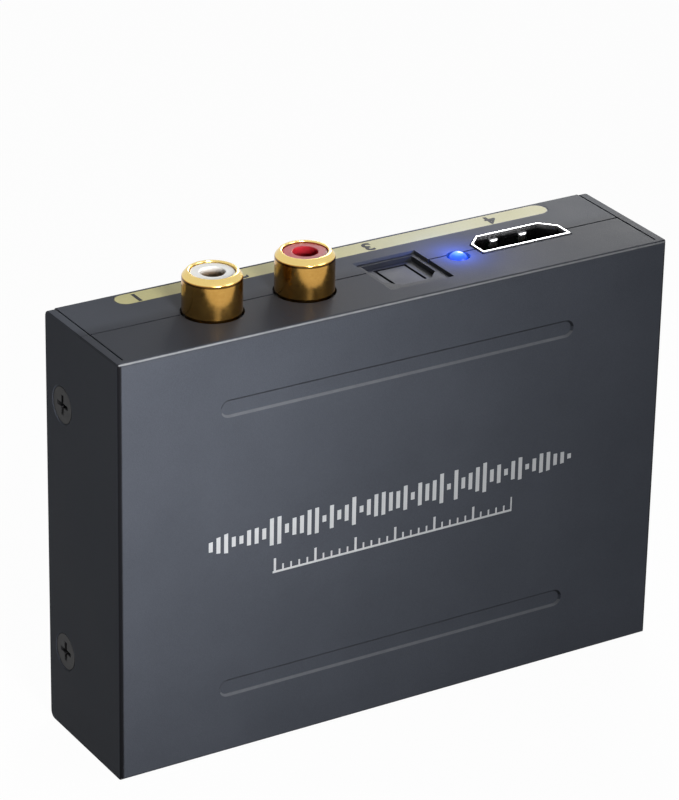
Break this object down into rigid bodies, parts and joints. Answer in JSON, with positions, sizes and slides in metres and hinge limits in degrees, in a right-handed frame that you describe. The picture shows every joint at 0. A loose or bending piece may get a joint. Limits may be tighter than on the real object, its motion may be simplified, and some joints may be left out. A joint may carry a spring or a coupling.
{
  "type": "hdmi audio extractor",
  "caption": "Slim folded-sheet box with gold phono jacks, a shuttered optical socket, a lamp and a video socket on one edge; video in, power inlet and mode switch opposite.",
  "frame": {"origin": "middle of the case's footprint at the level of the input panel, on which the case stands", "axes": "+X along the width to the video output side, +Y from the printed front face to the back plate, +Z from the input panel up to the output panel"},
  "size_m": [0.088, 0.021, 0.069],
  "materials": {
    "case_paint": "fine satin powder coat, slate black",
    "black_screws": "black oxide",
    "label_foil": "pale gold foil label, satin",
    "gold_plate": "gold plating, polished",
    "tinned_steel": "tinned sheet, satin",
    "white_plastic": "glossy moulded insert",
    "red_plastic": "glossy moulded insert",
    "black_plastic": "moulded glass-filled plastic",
    "chip_plastic": "fine matt epoxy",
    "phenolic": "pressed laminate",
    "board_laminate": "green solder resist over glass laminate",
    "lamp_glow": "clear epoxy lens, lit blue",
    "can_aluminium": "drawn can, bright",
    "ceramic_tan": "sintered chip body",
    "ferrite_grey": "pressed ferrite"
  },
  "bodies": {
    "case": {"cover_shell": "case_paint", "base_shell": "case_paint", "case_screws": "black_screws", "output_label_strip": "label_foil", "input_label_strip": "label_foil", "main_board": "board_laminate", "board_standoffs": "gold_plate", "board_screws": "tinned_steel", "phono_left_barrel": "gold_plate", "phono_left_insert": "white_plastic", "phono_left_contact": "gold_plate", "phono_left_body": "black_plastic", "phono_left_ground_terminal": "tinned_steel", "phono_right_barrel": "gold_plate", "phono_right_insert": "red_plastic", "phono_right_contact": "gold_plate", "phono_right_body": "black_plastic", "phono_right_ground_terminal": "tinned_steel", "optical_housing": "black_plastic", "optical_shutter_spring": "tinned_steel", "optical_emitter": "chip_plastic", "optical_emitter_leads": "tinned_steel", "lamp_lens": "lamp_glow", "lamp_leads": "tinned_steel", "video_out_shell": "tinned_steel", "video_out_insulator": "black_plastic", "video_out_contacts": "gold_plate", "video_in_shell": "tinned_steel", "video_in_insulator": "black_plastic", "video_in_contacts": "gold_plate", "inlet_housing": "black_plastic", "inlet_pin": "tinned_steel", "inlet_spring_contact": "tinned_steel", "switch_frame": "tinned_steel", "switch_base": "phenolic", "switch_terminals": "tinned_steel", "main_chip": "chip_plastic", "audio_chip": "chip_plastic", "audio_chip_legs": "tinned_steel", "memory_chip": "chip_plastic", "memory_chip_legs": "tinned_steel", "regulators": "chip_plastic", "regulator_legs": "tinned_steel", "crystal_can": "can_aluminium", "power_inductor": "ferrite_grey", "capacitor_cans": "can_aluminium", "capacitor_bases": "black_plastic", "chip_capacitors": "ceramic_tan", "chip_resistors": "chip_plastic"},
    "shutter": {"optical_shutter": "black_plastic"},
    "mode_knob": {"switch_knob": "black_plastic", "switch_wiper": "gold_plate"}
  },
  "joints": [
    {"name": "optical_shutter_hinge", "type": "hinge", "parent": "case", "child": "shutter", "pos_m": [0.0056, -0.0054, 0.0616], "axis": [-1, 0, 0], "range_deg": [0, 88], "stiffness_Nm_per_rad": 0.0002, "springref_deg": -20.05, "deforming": ["optical_shutter_spring"]},
    {"name": "mode_switch_slide", "type": "slide", "parent": "case", "child": "mode_knob", "axis": [1, 0, 0], "range_m": [-0.0022, 0.0022]}
  ]
}
